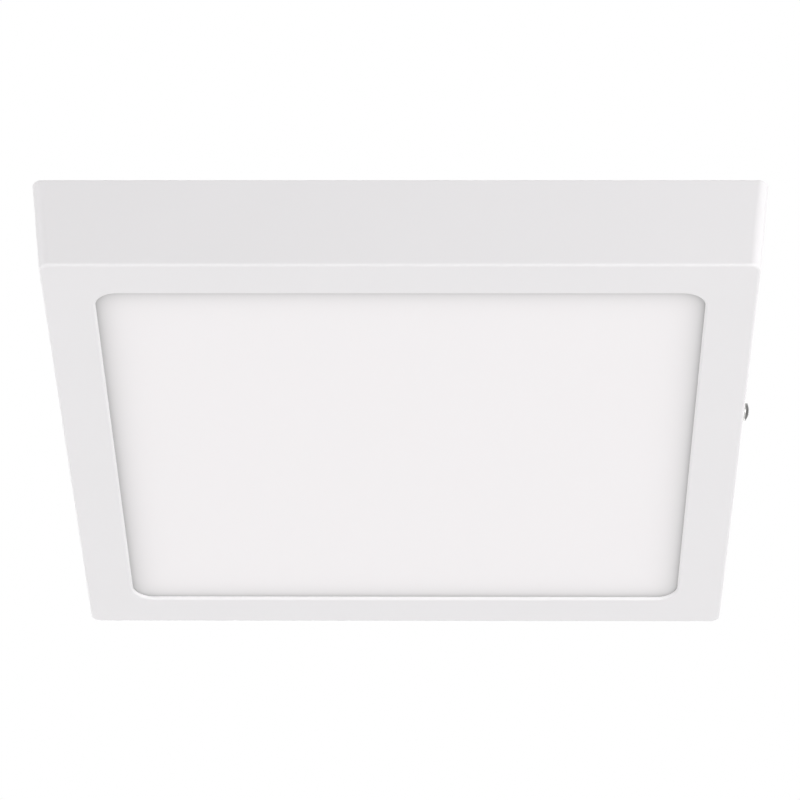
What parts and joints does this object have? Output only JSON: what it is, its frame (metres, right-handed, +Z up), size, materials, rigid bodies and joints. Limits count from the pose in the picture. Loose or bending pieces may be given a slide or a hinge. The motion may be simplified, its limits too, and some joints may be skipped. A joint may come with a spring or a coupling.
{
  "type": "surface mount led light",
  "caption": "Square white surface-mount ceiling light with drafted walls and an opal window, hung on a folded steel bracket by a hook and a side screw.",
  "frame": {"origin": "middle of the bracket's top face, on the ceiling plane", "axes": "+Z up into the ceiling, +X towards the wall with the screw, +Y towards the driver"},
  "size_m": [0.3007, 0.2998, 0.04],
  "materials": {
    "housing_white": "white powder coat with a fine texture",
    "diffuser_opal": "opal sheet, satin",
    "guide_clear": "clear polished plate",
    "film_white": "matt white film",
    "foam_white": "closed-cell foam",
    "tape_grey": "thermal tape",
    "board_white": "white solder resist",
    "led_phosphor": "phosphor resin",
    "plate_aluminium": "mill finish sheet",
    "screw_zinc": "zinc plated",
    "rubber_black": "moulded rubber",
    "driver_plastic": "moulded, fine texture",
    "board_green": "green solder resist",
    "connector_plastic": "moulded",
    "capacitor_sleeve": "shrink sleeve",
    "ferrite_grey": "sintered",
    "chip_black": "moulded",
    "terminal_plastic": "moulded",
    "contact_brass": "stamped",
    "clip_steel": "spring steel",
    "button_grey": "moulded",
    "lead_brown": "insulation",
    "lead_blue": "insulation",
    "lead_green_yellow": "striped insulation",
    "ring_tinned": "tinned",
    "lead_red": "insulation",
    "lead_black": "insulation",
    "bracket_zinc": "galvanised",
    "washer_nylon": "natural white",
    "screw_nickel": "nickel plated"
  },
  "bodies": {
    "lamp": {"housing": "housing_white", "diffuser": "diffuser_opal", "light_guide": "guide_clear", "reflector_sheet": "film_white", "pressure_sheet": "foam_white", "board_tapes": "tape_grey", "led_board_left": "board_white", "led_board_right": "board_white", "leds_left": "led_phosphor", "leds_right": "led_phosphor", "back_plate": "plate_aluminium", "back_plate_screws": "screw_zinc", "lead_grommet": "rubber_black", "driver_case": "driver_plastic", "driver_lid": "driver_plastic", "driver_board": "board_green", "driver_connectors": "connector_plastic", "driver_capacitors": "capacitor_sleeve", "driver_choke": "ferrite_grey", "driver_transformer": "ferrite_grey", "driver_chips": "chip_black", "driver_screws": "screw_zinc", "terminal_base": "terminal_plastic", "terminal_body": "terminal_plastic", "terminal_bars": "contact_brass", "terminal_clips": "clip_steel", "terminal_screws": "screw_zinc", "mains_lead_live": "lead_brown", "mains_lead_neutral": "lead_blue", "earth_lead": "lead_green_yellow", "earth_ring": "ring_tinned", "earth_screw": "screw_zinc", "output_lead_positive": "lead_red", "output_lead_negative": "lead_black", "strip_link_positive": "lead_red", "strip_link_negative": "lead_black", "mounting_bracket": "bracket_zinc", "clinch_nut": "bracket_zinc", "cable_bush": "rubber_black"},
    "screw_carrier": {"side_washer": "washer_nylon"},
    "screw": {"side_screw": "screw_nickel"},
    "button_live": {"release_button_live": "button_grey"},
    "button_neutral": {"release_button_neutral": "button_grey"},
    "button_earth": {"release_button_earth": "button_grey"}
  },
  "joints": [
    {"name": "screw_travel", "type": "slide", "parent": "lamp", "child": "screw_carrier", "axis": [0.9935, 0, -0.114], "range_m": [0, 0.0056]},
    {"name": "screw_turn", "type": "hinge", "parent": "screw_carrier", "child": "screw", "pos_m": [0.14816, 0, -0.0168], "axis": [0.9935, 0, -0.114], "range_deg": [0, 2881]},
    {"name": "live_button_press", "type": "slide", "parent": "lamp", "child": "button_live", "axis": [0, 0, -1], "range_m": [0, 0.0012], "stiffness_N_per_m": 4000},
    {"name": "neutral_button_press", "type": "slide", "parent": "lamp", "child": "button_neutral", "axis": [0, 0, -1], "range_m": [0, 0.0012], "stiffness_N_per_m": 4000},
    {"name": "earth_button_press", "type": "slide", "parent": "lamp", "child": "button_earth", "axis": [0, 0, -1], "range_m": [0, 0.0012], "stiffness_N_per_m": 4000}
  ],
  "couplings": [
    {"joint": "screw_turn", "follows": "screw_travel", "rad_per_m": 8976}
  ]
}
